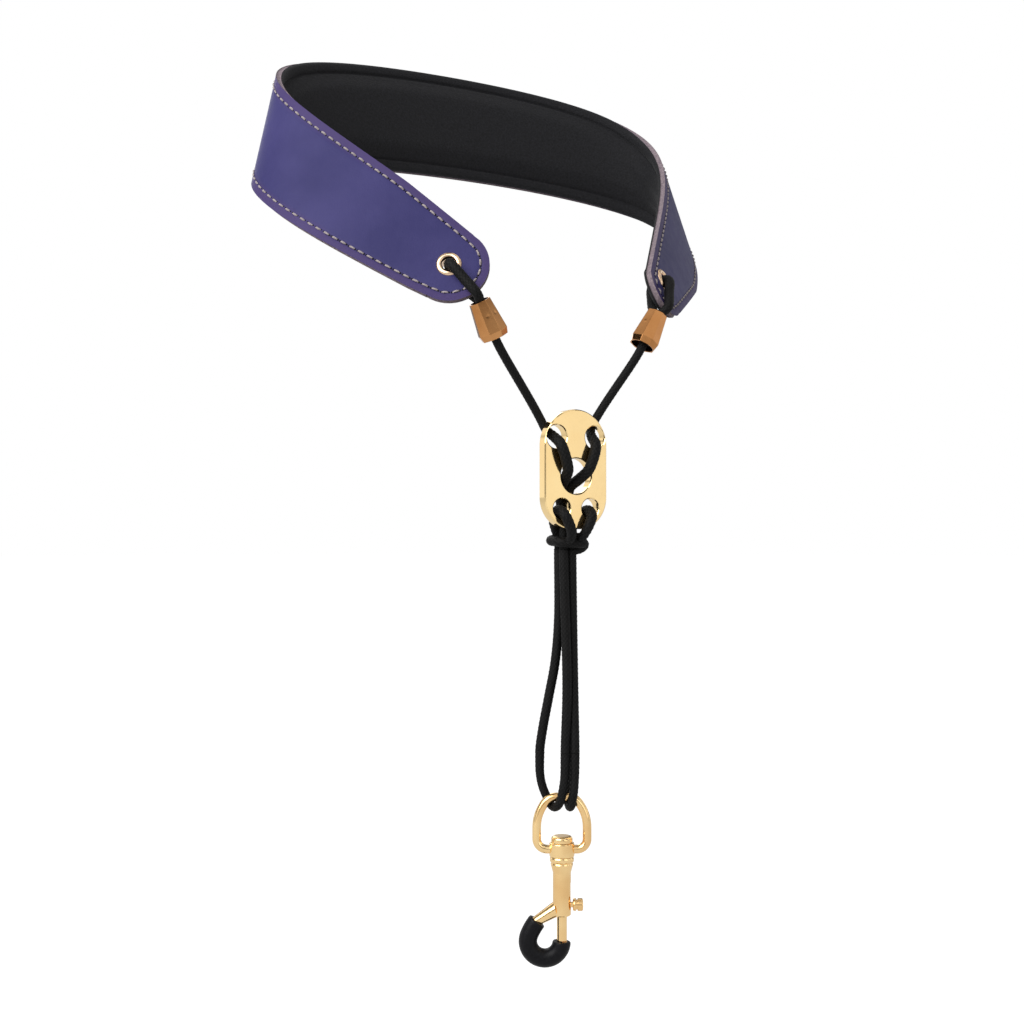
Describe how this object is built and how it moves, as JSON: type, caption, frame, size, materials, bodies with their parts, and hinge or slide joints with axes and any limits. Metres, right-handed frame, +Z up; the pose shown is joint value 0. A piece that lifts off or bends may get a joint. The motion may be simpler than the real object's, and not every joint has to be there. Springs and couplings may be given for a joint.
{
  "type": "saxophone neck strap",
  "caption": "Wide padded leather neck strap with braided cord, a sliding plate that sets its length and a swivel snap hook with a spring trigger and soft sleeve.",
  "frame": {"origin": "centre of the slider plate, halfway through its thickness", "axes": "+Z up along the hanging cords, +Y towards the wearer's nape, -Y the way the wearer faces, +X to the wearer's left"},
  "size_m": [0.2104, 0.1306, 0.3824],
  "materials": {
    "leather": "satin",
    "lining": "matte",
    "foam": "matte",
    "thread": "matte",
    "cord": "braided, matte",
    "eyelet_gold": "polished",
    "bell_brass": "polished",
    "plate_gold": "mirror polished",
    "hook_gold": "polished",
    "spring_steel": "bright",
    "sleeve": "satin"
  },
  "bodies": {
    "neck_band": {"outer_leather": "leather", "foam_pad": "foam", "lining": "lining", "edge_stitching": "thread", "left_eyelet": "eyelet_gold", "left_eyelet_washer": "eyelet_gold", "left_cord_loop": "cord", "left_knot": "cord", "left_upper_cord": "cord", "right_eyelet": "eyelet_gold", "right_eyelet_washer": "eyelet_gold", "right_cord_loop": "cord", "right_knot": "cord", "right_upper_cord": "cord"},
    "slider": {"slider_plate": "plate_gold", "wrap_knot": "cord", "left_plate_cord": "cord", "left_tail_cord": "cord", "left_front_strand": "cord", "left_rear_strand": "cord", "right_plate_cord": "cord", "right_tail_cord": "cord", "right_front_strand": "cord", "right_rear_strand": "cord"},
    "cord_bights": {"left_bight": "cord", "right_bight": "cord"},
    "swivel_ring": {"swivel_eye": "hook_gold"},
    "snap_hook": {"hook_body": "hook_gold", "swivel_rivet": "hook_gold", "rubber_sleeve": "sleeve"},
    "trigger_bolt": {"bolt": "hook_gold", "thumb_knob": "hook_gold", "bolt_spring": "spring_steel"},
    "left_end_bell": {"left_bell": "bell_brass"},
    "right_end_bell": {"right_bell": "bell_brass"}
  },
  "joints": [
    {"name": "plate_slide", "type": "slide", "parent": "neck_band", "child": "slider", "axis": [0, 0, 1], "range_m": [-0.06, 0.02], "deforming": ["left_upper_cord", "right_upper_cord"]},
    {"name": "hook_drop", "type": "slide", "parent": "slider", "child": "cord_bights", "axis": [0, 0, -1], "range_m": [-0.03, 0.01], "deforming": ["left_front_strand", "left_rear_strand", "right_front_strand", "right_rear_strand"]},
    {"name": "ring_swing", "type": "hinge", "parent": "cord_bights", "child": "swivel_ring", "pos_m": [-0.00112, 0.00661, -0.1299], "axis": [0.8634, -0.5045, 0], "range_deg": [-30, 10]},
    {"name": "swivel_spin", "type": "hinge", "parent": "swivel_ring", "child": "snap_hook", "pos_m": [-0.00112, 0.00661, -0.1506], "axis": [0, 0, 1], "continuous": true},
    {"name": "bolt_slide", "type": "slide", "parent": "snap_hook", "child": "trigger_bolt", "axis": [0, 0, 1], "range_m": [0, 0.0076], "stiffness_N_per_m": 400, "springref_m": -0.002, "deforming": ["bolt_spring"]},
    {"name": "left_bell_spin", "type": "hinge", "parent": "neck_band", "child": "left_end_bell", "pos_m": [-0.04341, -0.00213, 0.06282], "axis": [0.4701, 0.03, -0.8821], "continuous": true},
    {"name": "right_bell_spin", "type": "hinge", "parent": "neck_band", "child": "right_end_bell", "pos_m": [0.03516, -0.00742, 0.06269], "axis": [-0.4701, 0.03, -0.8821], "continuous": true}
  ],
  "couplings": [
    {"joint": "hook_drop", "follows": "plate_slide", "ratio": 0.5}
  ]
}
